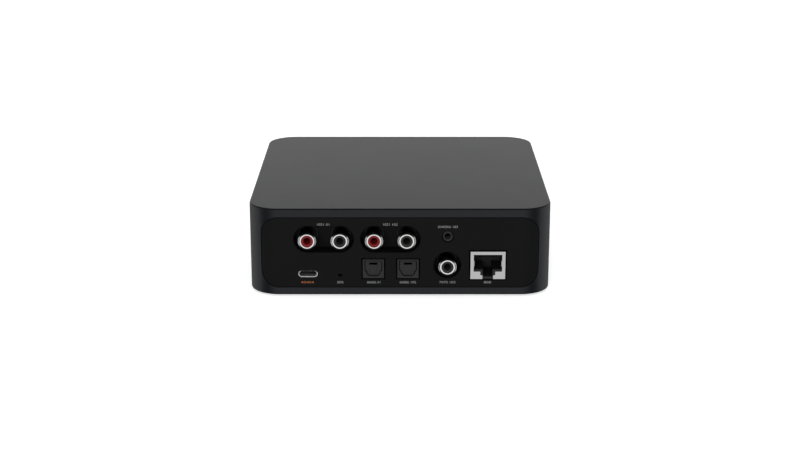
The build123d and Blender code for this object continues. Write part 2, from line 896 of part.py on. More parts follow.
def optical_spring(x):
    """A leaf along the mouth's roof that bends down to press on the back of the shutter."""
    roof_z = mouth_top_z - spring_seat_gap - spring_thickness / 2
    tip_y = shutter_face_y - shutter_thickness - spring_seat_gap - spring_thickness
    with BuildPart() as spring:
        with BuildSketch(Plane.YZ.offset(x - spring_width / 2)):
            with BuildLine():
                FilletPolyline(
                    (mouth_back_y + spring_thickness, roof_z),
                    (mouth_back_y + spring_flat_length, roof_z),
                    (tip_y, roof_z - spring_drop),
                    radius=spring_bend_radius,
                )
            trace(line_width=spring_thickness)
        extrude(amount=spring_width)
    return spring


def optical_module(x):
    """The clear block with its lens that sends or takes the light."""
    with BuildPart() as module:
        with BuildSketch(upright(module_front_y)):
            with Locations((x, mouth_mid_z)):
                Rectangle(module_width, module_height)
        extrude(amount=module_front_y - optical_back_y)
        with BuildSketch(upright(module_front_y)):
            with Locations((x, mouth_mid_z)):
                Circle(lens_radius)
        extrude(amount=-lens_back_wall)
        fillet(module.edges().group_by(Axis.Y)[-1], radius=lens_radius / 2)
    return module


for socket, socket_x in (("optical_in", optical_in_x), ("optical_out", optical_out_x)):
    write(optical_housing(socket_x), f"{socket}_housing")
    write(optical_shutter(socket_x), f"{socket}_shutter")
    write(optical_hinge_pin(socket_x), f"{socket}_hinge_pin")
    write(optical_spring(socket_x), f"{socket}_spring")
write(optical_module(optical_in_x), "optical_in_receiver")
write(optical_module(optical_out_x), "optical_out_emitter")


# Network socket: a folded metal shield round a black insert, latch side down, with eight spring contacts

lan_face_y = rear_y
lan_high_z = lan_low_z + lan_height
lan_sill_z = lan_low_z + lan_mouth_sill
lan_mouth_top_z = lan_low_z + lan_mouth_top
lan_inner_y = lan_face_y - lan_sheet
lan_back_y = lan_face_y - lan_depth


def lan_mouth(*half):
    """An opening for the plug's body above and its latch below, given by its right half from the top down."""
    right = [(lan_x + across, z) for across, z in half]
    left = [(lan_x - across, z) for across, z in reversed(half)]
    Polygon(*right, *left, align=None)


with BuildPart() as lan_shield:
    with BuildSketch(upright(lan_face_y)):
        with Locations((lan_x, lan_z)):
            Rectangle(lan_width, lan_height)
    extrude(amount=lan_depth)
    with BuildSketch(upright(lan_inner_y)):
        with Locations((lan_x, lan_z - lan_sheet)):
            Rectangle(lan_width - 2 * lan_sheet, lan_height)
    extrude(amount=lan_depth - 2 * lan_sheet, mode=Mode.SUBTRACT)
    with BuildSketch(upright(lan_face_y)):
        lan_mouth(
            (lan_mouth_half_width, lan_mouth_top_z),
            (lan_mouth_half_width, lan_sill_z),
            (lan_latch_half_width, lan_sill_z),
            (lan_latch_half_width, lan_low_z + lan_latch_step),
            (lan_tab_half_width, lan_low_z + lan_latch_step),
            (lan_tab_half_width, lan_low_z),
        )
    extrude(amount=lan_sheet, mode=Mode.SUBTRACT)
write(lan_shield, "lan_shield")

lan_insert_top_z = lan_high_z - lan_sheet - lan_gap
lan_insert_front_y = lan_inner_y - lan_gap
lan_insert_back_y = lan_back_y + lan_sheet + lan_gap
contact_span = (lan_contact_count - 1) * lan_contact_pitch
contact_xs = [lan_x - contact_span / 2 + i * lan_contact_pitch for i in range(lan_contact_count)]
contact_front_y = lan_face_y - lan_contact_front
contact_back_y = lan_face_y - lan_contact_back
contact_z = lan_mouth_top_z + lan_contact_thickness / 2 + lan_gap

with BuildPart() as lan_insert:
    with BuildSketch(upright(lan_insert_front_y)):
        with Locations((lan_x, (lan_insert_top_z + lan_low_z) / 2)):
            Rectangle(lan_width - 2 * (lan_sheet + lan_gap), lan_insert_top_z - lan_low_z)
    extrude(amount=lan_insert_front_y - lan_insert_back_y)
    with BuildSketch(upright(lan_insert_front_y)):
        lan_mouth(
            (lan_mouth_half_width, lan_mouth_top_z),
            (lan_mouth_half_width, lan_sill_z + lan_insert_sill_rise),
            (lan_insert_latch_half_width, lan_sill_z + lan_insert_sill_rise),
            (lan_insert_latch_half_width, lan_low_z + lan_insert_floor),
        )
    extrude(amount=lan_socket_depth, mode=Mode.SUBTRACT)
    with BuildSketch(Plane.XY.offset(lan_mouth_top_z)):
        with Locations(*[(x, (contact_front_y + contact_back_y) / 2) for x in contact_xs]):
            Rectangle(lan_groove_width, lan_contact_back - lan_contact_front + lan_groove_depth)
    extrude(amount=lan_groove_depth, mode=Mode.SUBTRACT)
write(lan_insert, "lan_insert")

with BuildPart() as lan_contacts:
    for contact_x in contact_xs:
        with BuildSketch(Plane.YZ.offset(contact_x - lan_contact_width / 2)):
            with BuildLine():
                FilletPolyline(
                    (contact_back_y, contact_z),
                    (contact_front_y, contact_z),
                    (lan_face_y - lan_contact_tip_depth, contact_z - lan_contact_tip_drop),
                    radius=lan_contact_bend_radius,
                )
            trace(line_width=lan_contact_thickness)
        extrude(amount=lan_contact_width)
write(lan_contacts, "lan_contacts")

lan_transformer_x = lan_transformer_side_inset - main_half_width
with BuildPart() as lan_transformer:
    with BuildSketch(Plane.XY.offset(main_top)):
        with Locations((lan_transformer_x, lan_back_y - lan_transformer_gap - lan_transformer_depth / 2)):
            Rectangle(lan_transformer_width, lan_transformer_depth)
    extrude(amount=lan_transformer_height)
    chamfer(lan_transformer.faces().sort_by(Axis.Z)[-1].edges(), length=block_edge)
write(lan_transformer, "lan_transformer")


# Power inlet: a drawn steel shell on two legs, with a tongue in the middle that carries the contacts

usb_face_y = rear_y - usb_sink
usb_back_y = usb_face_y - usb_depth
usb_inner_width = usb_width - 2 * usb_sheet
usb_inner_height = usb_thickness - 2 * usb_sheet
usb_leg_x = usb_width / 2 - usb_leg_thickness / 2

with BuildPart() as usb_shell:
    with BuildSketch(upright(usb_face_y)):
        with Locations((usb_x, usb_z)):
            SlotOverall(usb_width, usb_thickness)
    extrude(amount=usb_depth)
    with BuildSketch(Plane.XY.offset(main_top)):
        with Locations(*[(usb_x + side * usb_leg_x, usb_back_y + usb_leg_length) for side in (-1, 1)]):
            Rectangle(usb_leg_thickness, usb_leg_length)
    extrude(amount=usb_z - main_top)
    with BuildSketch(upright(usb_face_y)):
        with Locations((usb_x, usb_z)):
            SlotOverall(usb_inner_width, usb_inner_height)
    extrude(amount=usb_depth, mode=Mode.SUBTRACT)
write(usb_shell, "usb_shell")

tongue_tip_y = usb_face_y - tongue_tip_sink
with BuildPart() as usb_tongue:
    with BuildSketch(upright(tongue_tip_y)):
        with Locations((usb_x, usb_z)):
            Rectangle(tongue_width, tongue_thickness)
    extrude(amount=tongue_tip_y - usb_back_y)
    with BuildSketch(upright(usb_back_y)):
        with Locations((usb_x, usb_z)):
            SlotOverall(usb_inner_width - 2 * slip_gap, usb_inner_height - 2 * slip_gap)
    extrude(amount=-tongue_base_depth)
write(usb_tongue, "usb_tongue")

pad_span = (usb_contact_count - 1) * usb_contact_pitch
pad_xs = [usb_x - pad_span / 2 + i * usb_contact_pitch for i in range(usb_contact_count)]
pad_rise = tongue_thickness / 2 + usb_contact_thickness / 2
with BuildPart() as usb_contacts:
    with BuildSketch(upright(tongue_tip_y - usb_contact_tip)):
        with Locations(*[(x, usb_z + side * pad_rise) for x in pad_xs for side in (-1, 1)]):
            Rectangle(usb_contact_width, usb_contact_thickness)
    extrude(amount=usb_contact_length)
write(usb_contacts, "usb_contacts")


# Microphone: a small capsule in a rubber boot against the back of the panel

mic_capsule_y = plate_back_y - mic_boot_lip
with BuildPart() as mic_boot:
    with BuildSketch(upright(plate_back_y)):
        with Locations((mic_x, mic_z)):
            Circle(mic_boot_radius)
            Circle(mic_hole_radius, mode=Mode.SUBTRACT)
    extrude(amount=mic_boot_lip + mic_length)
    with BuildSketch(upright(mic_capsule_y)):
        with Locations((mic_x, mic_z)):
            Circle(mic_radius + slip_gap)
    extrude(amount=mic_length, mode=Mode.SUBTRACT)
write(mic_boot, "mic_boot")

with BuildPart() as mic_capsule:
    with BuildSketch(upright(mic_capsule_y)):
        with Locations((mic_x, mic_z)):
            Circle(mic_radius)
    extrude(amount=mic_length)
write(mic_capsule, "mic_capsule")


# Wireless and processor module: a small board soldered flat to the main board, under a folded can

module_board_y = main_front_y + module_board_front_inset + module_board_depth / 2
with BuildPart() as module_board:
    with BuildSketch(Plane.XY.offset(main_top)):
        with Locations((module_board_x, module_board_y)):
            Rectangle(module_board_width, module_board_depth)
    extrude(amount=module_board_thickness)
write(module_board, "module_board")

can_bottom = main_top + module_board_thickness
with BuildPart() as shield_can:
    with BuildSketch(Plane.XY.offset(can_bottom)):
        with Locations((module_board_x, module_board_y)):
            Rectangle(can_width, can_depth)
    extrude(amount=can_height)
    fillet(shield_can.faces().sort_by(Axis.Z)[-1].edges(), radius=can_edge)
    with BuildSketch(Plane.XY.offset(can_bottom)):
        with Locations((module_board_x, module_board_y)):
            Rectangle(can_width - 2 * can_sheet, can_depth - 2 * can_sheet)
    extrude(amount=can_height - can_sheet, mode=Mode.SUBTRACT)
write(shield_can, "shield_can")


# Parts soldered to the boards

def chips(z, places, width, thickness):
    """Square chips standing on a board."""
    with BuildSketch(Plane.XY.offset(z)) as row:
        with Locations(*places):
            Rectangle(width, width)
    extrude(row.sketch, amount=thickness)


converter_y = analog_rear_y - converter_inset
converter_places = analog_places(converter_place_shares, converter_y)
amplifier_places = analog_places((amplifier_place_share,), converter_y)
with BuildPart() as converter_chips:
    chips(analog_top, converter_places, converter_width, converter_thickness)
    chips(analog_top, amplifier_places, amplifier_width, converter_thickness)
write(converter_chips, "converter_chips")

chip_row_y = analog_front_y + chip_row_inset
chip_places = [(share * 2 * main_half_width, chip_row_y) for share in chip_place_shares]
with BuildPart() as logic_chips:
    chips(main_top, chip_places, chip_width, chip_thickness)
write(logic_chips, "logic_chips")

capacitor_places = analog_places(capacitor_place_shares, analog_rear_y - capacitor_inset)
with BuildPart() as capacitors:
    chips(analog_top, capacitor_places, 2 * capacitor_radius, capacitor_base_height)
    with BuildSketch(Plane.XY.offset(analog_top + capacitor_base_height)):
        with Locations(*capacitor_places):
            Circle(capacitor_radius)
    extrude(amount=capacitor_height)
    fillet(capacitors.edges().group_by(Axis.Z)[-1], radius=capacitor_edge)
write(capacitors, "capacitors")

inductor_x = main_half_width - inductor_side_inset
inductor_y = main_rear_y - inductor_rear_inset
inductor_places = [(inductor_x - i * inductor_pitch, inductor_y) for i in range(inductor_count)]
with BuildPart() as inductors:
    with BuildSketch(Plane.XY.offset(main_top)):
        with Locations(*inductor_places):
            RectangleRounded(inductor_width, inductor_width, inductor_corner_radius)
    extrude(amount=inductor_height)
    chamfer(inductors.edges().group_by(Axis.Z)[-1], length=block_edge)
write(inductors, "inductors")

header_y = analog_front_y + header_inset
header_split_z = analog_bottom - header_plug_height
with BuildPart() as board_header:
    with BuildSketch(Plane.XY.offset(main_top)):
        with Locations((header_x, header_y)):
            Rectangle(header_width, header_depth)
    extrude(amount=header_split_z - main_top)
write(board_header, "board_header_socket")

with BuildPart() as board_header_plug:
    with BuildSketch(Plane.XY.offset(header_split_z)):
        with Locations((header_x, header_y)):
            Rectangle(header_width - header_plug_inset, header_depth - header_plug_inset)
    extrude(amount=header_plug_height)
write(board_header_plug, "board_header_plug")

antenna_x = main_half_width - antenna_side_inset
antenna_y = main_front_y + antenna_front_inset
with BuildPart() as antennas:
    with BuildSketch(Plane.XY.offset(main_top)):
        with Locations((-antenna_x, antenna_y), (antenna_x, antenna_y)):
            Rectangle(antenna_width, antenna_thickness)
        with Locations((-antenna_x, antenna_y), (antenna_x, antenna_y)):
            Rectangle(antenna_width / 2, antenna_foot, align=(Align.CENTER, Align.MIN))
    extrude(amount=antenna_thickness)
    with BuildSketch(Plane.XY.offset(main_top)):
        with Locations((-antenna_x, antenna_y), (antenna_x, antenna_y)):
            Rectangle(antenna_width, antenna_thickness)
    extrude(amount=antenna_height)
write(antennas, "antennas")


# Front electronics: the touch board on the back of the window, the status light and the ribbon

window_back_y = front_y + plate_depth
touch_back_y = window_back_y + touch_board_thickness
touch_board_width = window_width - 2 * touch_board_side_margin
touch_board_height = window_height - 2 * touch_board_end_margin
with BuildPart() as touch_board:
    with BuildSketch(upright(window_back_y)):
        with Locations((0, window_z)):
            RectangleRounded(touch_board_width, touch_board_height, touch_board_corner_radius)
            Circle(light_radius, mode=Mode.SUBTRACT)
    extrude(amount=-touch_board_thickness)
write(touch_board, "touch_board")

with BuildPart() as status_light:
    with BuildSketch(upright(front_y + plate_sink)):
        with Locations((0, window_z)):
            Circle(light_radius)
    extrude(amount=-(plate_depth - plate_sink))
    with BuildSketch(upright(touch_back_y)):
        with Locations((0, window_z)):
            Rectangle(led_width, led_height)
    extrude(amount=-led_thickness)
write(status_light, "status_light")

board_connector_y = main_front_y + connector_inset + connector_depth / 2
touch_connector_z = window_z
with BuildPart() as ribbon_connectors:
    with BuildSketch(Plane.XY.offset(main_top)):
        with Locations((ribbon_x, board_connector_y)):
            Rectangle(connector_width, connector_depth)
    extrude(amount=connector_height)
    with BuildSketch(upright(touch_back_y)):
        with Locations((ribbon_x, touch_connector_z)):
            Rectangle(connector_width, connector_depth)
    extrude(amount=-connector_height)
    chamfer(ribbon_connectors.edges().filter_by(Axis.X), length=connector_edge)
write(ribbon_connectors, "ribbon_connectors")

ribbon_start_y = board_connector_y - connector_depth / 2
ribbon_start_z = main_top + connector_height / 2
ribbon_end_y = touch_back_y + connector_height / 2
ribbon_end_z = touch_connector_z - connector_depth / 2
with BuildPart() as ribbon_cable:
    with BuildSketch(Plane.YZ.offset(ribbon_x - ribbon_width / 2)):
        with BuildLine():
            FilletPolyline(
                (ribbon_start_y, ribbon_start_z),
                (ribbon_end_y + ribbon_slack, ribbon_start_z),
                (ribbon_end_y, ribbon_start_z + ribbon_slack),
                (ribbon_end_y, ribbon_end_z),
                radius=ribbon_bend_radius,
            )
        trace(line_width=ribbon_thickness)
    extrude(amount=ribbon_width)
write(ribbon_cable, "ribbon_cable")
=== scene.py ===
import math

import bmesh
import bpy
from mathutils import Matrix, Vector


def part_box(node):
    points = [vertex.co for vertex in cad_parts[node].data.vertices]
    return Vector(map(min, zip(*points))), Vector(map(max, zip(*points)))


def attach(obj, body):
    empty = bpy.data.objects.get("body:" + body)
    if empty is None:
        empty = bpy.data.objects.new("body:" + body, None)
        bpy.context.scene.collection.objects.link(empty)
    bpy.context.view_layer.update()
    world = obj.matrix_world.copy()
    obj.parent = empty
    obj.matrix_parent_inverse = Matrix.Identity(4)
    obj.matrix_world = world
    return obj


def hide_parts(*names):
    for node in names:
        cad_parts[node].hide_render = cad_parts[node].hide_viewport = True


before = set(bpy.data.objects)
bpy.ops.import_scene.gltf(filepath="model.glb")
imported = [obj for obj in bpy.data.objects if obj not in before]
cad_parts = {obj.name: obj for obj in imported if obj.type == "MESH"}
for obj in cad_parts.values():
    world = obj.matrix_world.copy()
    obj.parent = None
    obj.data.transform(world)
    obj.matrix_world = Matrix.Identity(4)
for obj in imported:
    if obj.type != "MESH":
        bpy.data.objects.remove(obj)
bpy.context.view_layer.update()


# The studio: a pale floor and a white surround with three large soft lamps.
# The camera stands behind the unit, a little above it, and sees its rear panel.

camera_place = (0.0, 0.7452, 0.2400)
camera_pitch = 73.06
lens_length = 69.35
film_width = 36.0
nearest_seen = 0.01
camera_data = bpy.data.cameras.new("camera")
camera_data.lens = lens_length
camera_data.sensor_width = film_width
camera_data.clip_start = nearest_seen
camera = bpy.data.objects.new("camera", camera_data)
camera.location = camera_place
camera.rotation_euler = (math.radians(camera_pitch), 0.0, math.pi)
bpy.context.scene.collection.objects.link(camera)
bpy.context.scene.camera = camera
bpy.context.scene.view_settings.view_transform = "Standard"


def put(tree, kind, values=(), **options):
    """A new shader node of a kind, with its options and with constants on its own inputs."""
    made = tree.nodes.new("ShaderNode" + kind)
    for option, setting in options.items():
        setattr(made, option, setting)
    for socket, value in dict(values).items():
        made.inputs[socket].default_value = value
    return made


def join(tree, source, *targets):
    """Leads one output to one input or more."""
    for target in targets:
        tree.links.new(source, target)


def seen_rays(tree):
    """One for camera, mirror and see-through rays, and nought for the light that falls on things."""
    path = put(tree, "LightPath")
    total = path.outputs["Is Camera Ray"]
    for ray in ("Is Glossy Ray", "Is Transmission Ray"):
        add = put(tree, "Math", operation="ADD", use_clamp=True)
        join(tree, total, add.inputs[0])
        join(tree, path.outputs[ray], add.inputs[1])
        total = add.outputs[0]
    return path, total


floor_half = 4.0
floor_grey = 0.80
floor_lift = 0.55
bm = bmesh.new()
bmesh.ops.create_grid(bm, x_segments=1, y_segments=1, size=floor_half)
floor_mesh = bpy.data.meshes.new("floor")
bm.to_mesh(floor_mesh)
bm.free()
floor = bpy.data.objects.new("floor", floor_mesh)
bpy.context.scene.collection.objects.link(floor)

floor_paper = bpy.data.materials.new("floor_paper")
floor_paper.use_nodes = True
tree = floor_paper.node_tree
tree.nodes.clear()
path, seen = seen_rays(tree)
paper = put(tree, "BsdfDiffuse", {"Color": (floor_grey, floor_grey, floor_grey, 1.0)})
level = put(tree, "Math", {1: floor_lift}, operation="MULTIPLY")
lift = put(tree, "Emission")
both = put(tree, "AddShader")
join(tree, seen, level.inputs[0])
join(tree, level.outputs[0], lift.inputs["Strength"])
join(tree, paper.outputs[0], both.inputs[0])
join(tree, lift.outputs[0], both.inputs[1])

# Mirror rays go through the floor to the studio's lower half, so that it looks the same
# from every height.
clear = put(tree, "BsdfTransparent")
through = put(tree, "MixShader")
output = put(tree, "OutputMaterial")
join(tree, path.outputs["Is Glossy Ray"], through.inputs["Fac"])
join(tree, both.outputs[0], through.inputs[1])
join(tree, clear.outputs[0], through.inputs[2])
join(tree, through.outputs[0], output.inputs["Surface"])
floor_mesh.materials.append(floor_paper)


def shade_ramp(tree, source, stops):
    """A grey ramp; its stops are (place, brightness)."""
    ramp = put(tree, "ValToRGB")
    elements = ramp.color_ramp.elements
    elements.remove(elements[1])
    elements[0].position = stops[0][0]
    elements[0].color = (*[stops[0][1]] * 3, 1.0)
    for position, shade in stops[1:]:
        elements.new(position).color = (shade, shade, shade, 1.0)
    join(tree, source, ramp.inputs["Fac"])
    return ramp


world = bpy.data.worlds.new("studio")
bpy.context.scene.world = world
world.use_nodes = True
tree = world.node_tree
tree.nodes.clear()
path, seen = seen_rays(tree)
place = put(tree, "TexCoord")
split = put(tree, "SeparateXYZ")
join(tree, place.outputs["Generated"], split.inputs[0])

# What a mirror sees above the horizon depends on the height,
# and reaches its dark part lower at the rear.
rear_shift = 0.50
sky_stops = ((0.13, 1.0), (0.20, 0.53), (0.35, 0.51), (0.52, 0.035), (0.80, 0.002))
rearward = put(tree, "Math", {1: 0.0}, operation="MAXIMUM")
height = put(tree, "Math", {1: rear_shift}, operation="MULTIPLY_ADD")
join(tree, split.outputs["Y"], rearward.inputs[0])
join(tree, rearward.outputs[0], height.inputs[0])
join(tree, split.outputs["Z"], height.inputs[2])
sky = shade_ramp(tree, height.outputs[0], sky_stops)

# Below the horizon it depends on the compass direction: 1 is straight out from the rear panel,
# 0.5 straight out from a side and 0 straight out from the front. Dark gaps between the pale
# cards shape the corners.
card_stops = (
    (0.0, 0.48), (0.012, 0.44), (0.04, 0.17), (0.11, 0.34), (0.235, 0.55), (0.354, 0.78), (0.517, 0.90),
    (0.63, 0.50), (0.727, 0.14), (0.847, 0.10), (0.933, 0.50), (0.975, 0.95), (1.0, 1.0),
)
levelled = put(tree, "VectorMath", {1: (1.0, 1.0, 0.0)}, operation="MULTIPLY")
compass = put(tree, "VectorMath", operation="NORMALIZE")
bearing = put(tree, "SeparateXYZ")
rear_share = put(tree, "MapRange", {"From Min": -1.0})
join(tree, place.outputs["Generated"], levelled.inputs[0])
join(tree, levelled.outputs["Vector"], compass.inputs[0])
join(tree, compass.outputs["Vector"], bearing.inputs[0])
join(tree, bearing.outputs["Y"], rear_share.inputs["Value"])
cards = shade_ramp(tree, rear_share.outputs["Result"], card_stops)

# The floor close to the unit, which a mirror sees steeply downwards, lies in its shade.
shade_start = -0.55
shade_full = -0.80
shade_left = 0.04
steep = put(tree, "MapRange", {"From Min": shade_full, "From Max": shade_start, "To Min": shade_left})
shaded = put(tree, "VectorMath", operation="MULTIPLY")
join(tree, split.outputs["Z"], steep.inputs["Value"])
join(tree, cards.outputs["Color"], shaded.inputs[0])
join(tree, steep.outputs["Result"], shaded.inputs[1])

# Both halves meet softly at the horizon. Mirrors see them, the camera sees plain white,
# and all other light is an even fill.
horizon_blur = 0.02
dome_strength = 1.12
fill_colour = (0.34, 0.345, 0.355, 1.0)
above = put(tree, "MapRange", {"From Min": -horizon_blur, "From Max": horizon_blur})
studio = put(tree, "Mix", data_type="RGBA")
join(tree, split.outputs["Z"], above.inputs["Value"])
join(tree, above.outputs["Result"], studio.inputs["Factor"])
join(tree, shaded.outputs["Vector"], studio.inputs["A"])
join(tree, sky.outputs["Color"], studio.inputs["B"])
white = put(tree, "Background", {"Color": (1.0, 1.0, 1.0, 1.0)})
dome = put(tree, "Background", {"Strength": dome_strength})
fill = put(tree, "Background", {"Color": fill_colour})
mirror_mix = put(tree, "MixShader")
camera_mix = put(tree, "MixShader")
output = put(tree, "OutputWorld")
join(tree, studio.outputs["Result"], dome.inputs["Color"])
join(tree, seen, mirror_mix.inputs["Fac"])
join(tree, fill.outputs[0], mirror_mix.inputs[1])
join(tree, dome.outputs[0], mirror_mix.inputs[2])
join(tree, path.outputs["Is Camera Ray"], camera_mix.inputs["Fac"])
join(tree, mirror_mix.outputs[0], camera_mix.inputs[1])
join(tree, white.outputs[0], camera_mix.inputs[2])
join(tree, camera_mix.outputs[0], output.inputs["Surface"])

# Each lamp is (name, place, the point it shines at, width, depth, power).
lamps = (
    ("overhead_lamp", (0.0, 0.0, 1.10), (0.0, 0.0, 0.02), 1.2, 1.0, 6.0),
    ("rear_lamp", (0.16, 1.30, 0.28), (0.0, 0.07, 0.02), 0.6, 0.30, 11.0),
    ("front_lamp", (-0.25, -1.30, 0.35), (0.0, -0.07, 0.02), 0.7, 0.30, 5.0),
)
for name, stand, target, width, depth, power in lamps:
    lamp_data = bpy.data.lights.new(name, "AREA")
    lamp_data.shape = "RECTANGLE"
    lamp_data.size = width
    lamp_data.size_y = depth
    lamp_data.energy = power
    lamp = bpy.data.objects.new(name, lamp_data)
    lamp.location = stand
    aim = Vector(target) - Vector(stand)
    lamp.rotation_euler = aim.to_track_quat("-Z", "Y").to_euler()
    lamp.visible_glossy = False
    bpy.context.scene.collection.objects.link(lamp)


# Case shell: one deep moulding in charcoal plastic with a fine satin texture,
# open at the front, the rear and underneath, and rounded at its four upright corners.


def moulded(name, colour, roughness, specular, grain=2600.0, depth=0.000012, spread=0.05, mottle=0.10,
            stretch=(1.0, 1.0, 1.0)):
    """Moulded plastic: a fine texture in the surface, and a slow drift in its colour and sheen."""
    material = bpy.data.materials.new(name)
    material.use_nodes = True
    tree = material.node_tree
    shader = tree.nodes["Principled BSDF"]
    shader.inputs["Specular IOR Level"].default_value = specular
    darker = (*[part * (1.0 - mottle) for part in colour], 1.0)
    lighter = (*[part * (1.0 + mottle) for part in colour], 1.0)
    place = put(tree, "TexCoord")
    drawn_out = put(tree, "Mapping", {"Scale": stretch})
    texture = put(tree, "TexNoise", {"Scale": grain, "Detail": 3.0})
    bump = put(tree, "Bump", {"Strength": 0.6, "Distance": depth})
    drift = put(tree, "TexNoise", {"Scale": 45.0, "Detail": 4.0})
    sheen = put(tree, "MapRange", {"To Min": roughness - spread, "To Max": roughness + spread})
    tint = put(tree, "Mix", {"A": darker, "B": lighter}, data_type="RGBA")
    join(tree, place.outputs["Object"], drawn_out.inputs["Vector"], drift.inputs["Vector"])
    join(tree, drawn_out.outputs["Vector"], texture.inputs["Vector"])
    join(tree, texture.outputs["Fac"], bump.inputs["Height"])
    join(tree, drift.outputs["Fac"], sheen.inputs["Value"], tint.inputs["Factor"])
    join(tree, sheen.outputs["Result"], shader.inputs["Roughness"])
    join(tree, tint.outputs["Result"], shader.inputs["Base Color"])
    join(tree, bump.outputs["Normal"], shader.inputs["Normal"])
    return material


def set_shader(material, socket, value):
    """Sets a constant on the shader's own socket."""
    material.node_tree.nodes["Principled BSDF"].inputs[socket].default_value = value


def wear(material, *nodes):
    """Gives CAD nodes their finish."""
    for node in nodes:
        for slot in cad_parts[node].material_slots:
            slot.material = material


case_plastic = moulded("case_plastic", (0.0048, 0.0056, 0.0072), 0.30, 0.25, spread=0.02, mottle=0.05)
set_shader(case_plastic, "Specular Tint", (0.93, 0.965, 1.0, 1.0))
wear(case_plastic, "case_shell")


# Base plate: a thin moulding in dull black plastic with a fine spark texture, let into the case from
# below and held by four screws. The screws and the ballast plate are zinc-plated steel.

base_plastic = moulded("base_plastic", (0.020, 0.020, 0.021), 0.55, 0.35)
wear(base_plastic, "base_plate")


def metal(name, colour, roughness, grain=1800.0, depth=0.000004, spread=0.05, stretch=(1.0, 1.0, 1.0)):
    """Plated or bare metal with faint marks of its making, drawn out one way if it was turned or rolled."""
    material = moulded(name, colour, roughness, 0.5, grain, depth, spread, 0.04, stretch)
    set_shader(material, "Metallic", 1.0)
    return material


zinc_steel = metal("zinc_steel", (0.55, 0.56, 0.58), 0.34)
wear(zinc_steel, "base_screws", "board_screws", "ballast_plate")


# Foot: one moulded rubber pad bonded into a shallow recess of the base plate, where it covers
# the screws. It stands on a raised rim, and the dished middle is covered in small dimples.


def add_piece(bm, name, material, body="unit", stands_for=(), angle=35.0):
    """Closes a mesh and makes it a piece that rides on its body and stands for its CAD nodes."""
    bmesh.ops.remove_doubles(bm, verts=bm.verts, dist=0.0000005)
    bmesh.ops.recalc_face_normals(bm, faces=bm.faces)
    mesh = bpy.data.meshes.new(name)
    bm.to_mesh(mesh)
    bm.free()
    mesh.shade_smooth()
    mesh.set_sharp_from_angle(angle=math.radians(angle))
    mesh.materials.append(material)
    piece = bpy.data.objects.new(name, mesh)
    bpy.context.scene.collection.objects.link(piece)
    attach(piece, body)
    if stands_for:
        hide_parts(*stands_for)
    return piece


def new_verts(made):
    """The vertices among what an operator made."""
    return [item for item in made["geom"] if isinstance(item, bmesh.types.BMVert)]


def thicken(bm, way):
    """Draws a flat mesh out into a solid, by a step in metres."""
    made = bmesh.ops.extrude_face_region(bm, geom=list(bm.faces))
    bmesh.ops.translate(bm, vec=way, verts=new_verts(made))


def underside(bm):
    """The faces that look straight down."""
    return [face for face in bm.faces if face.normal.z < -0.999]


foot_rubber = moulded("foot_rubber", (0.018, 0.018, 0.018), 0.80, 0.25, grain=1400.0, depth=0.00004)
dimpled_rubber = moulded("dimpled_rubber", (0.018, 0.018, 0.018), 0.72, 0.3)
dimples_per_metre = 420.0
dimple_edge = (0.12, 0.36)
dimple_depth = 0.0003
tree = dimpled_rubber.node_tree
place = next(node for node in tree.nodes if node.type == "TEX_COORD")
grain_bump = next(node for node in tree.nodes if node.type == "BUMP")
dimples = put(tree, "TexVoronoi", {"Scale": dimples_per_metre, "Randomness": 0.0})
dished = put(tree, "MapRange", {"From Min": dimple_edge[0], "From Max": dimple_edge[1]})
dents = put(tree, "Bump", {"Strength": 0.8, "Distance": dimple_depth})
join(tree, place.outputs["Object"], dimples.inputs["Vector"])
join(tree, dimples.outputs["Distance"], dished.inputs["Value"])
join(tree, dished.outputs["Result"], dents.inputs["Height"])
join(tree, dents.outputs["Normal"], grain_bump.inputs["Normal"])

foot_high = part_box("foot_pad")[1]
foot_half = foot_high.x
foot_thick = foot_high.z
foot_corner = 0.007
foot_edge = 0.00025
foot_rim = 0.0045
foot_dish = 0.00035
foot_steps = 96
half_step = Matrix.Rotation(math.pi / foot_steps, 4, "Z")
bm = bmesh.new()
made = bmesh.ops.create_circle(bm, cap_ends=True, segments=foot_steps, radius=foot_corner, matrix=half_step)
for vert in made["verts"]:
    vert.co.x += math.copysign(foot_half - foot_corner, vert.co.x)
    vert.co.y += math.copysign(foot_half - foot_corner, vert.co.y)
thicken(bm, (0.0, 0.0, foot_thick))
bmesh.ops.recalc_face_normals(bm, faces=bm.faces)
bmesh.ops.bevel(bm, geom=list(underside(bm)[0].edges), offset=foot_edge, offset_type="OFFSET",
                affect="EDGES", segments=3, profile=0.5, material=-1)
lowest = underside(bm)
bmesh.ops.inset_region(bm, faces=lowest, thickness=foot_rim, use_even_offset=True)
bmesh.ops.inset_region(bm, faces=lowest, thickness=foot_dish, use_even_offset=True)
bmesh.ops.translate(bm, vec=(0.0, 0.0, foot_dish), verts=lowest[0].verts)
lowest[0].material_index = 1
foot = add_piece(bm, "dished_foot", foot_rubber, stands_for=("foot_pad",))
foot.data.materials.append(dimpled_rubber)


# Rear panel: a plate of dull black plastic with two pockets and a round well moulded into it,
# set in a shallow step of the case.

panel_plastic = moulded("panel_plastic", (0.0064, 0.0064, 0.0065), 0.55, 0.05, depth=0.000006)
wear(panel_plastic, "rear_panel")
panel_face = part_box("rear_panel")[1].y * 1000


# Printed marks on the rear panel: a row of plain digits over or under each socket,
# screen-printed in light grey ink, and in orange under the power inlet.

grey_ink = moulded("grey_ink", (0.20, 0.20, 0.20), 0.55, 0.3, mottle=0.05)
orange_ink = moulded("orange_ink", (0.29, 0.100, 0.034), 0.55, 0.3, mottle=0.05)
ink_thick = 0.012
ink_gap = 0.003
ink_swell = 0.003
ink_y = panel_face + ink_gap + ink_thick
digit_height = 1.10
pair_row = 34.55
trigger_row = 33.4
lower_row = 6.6

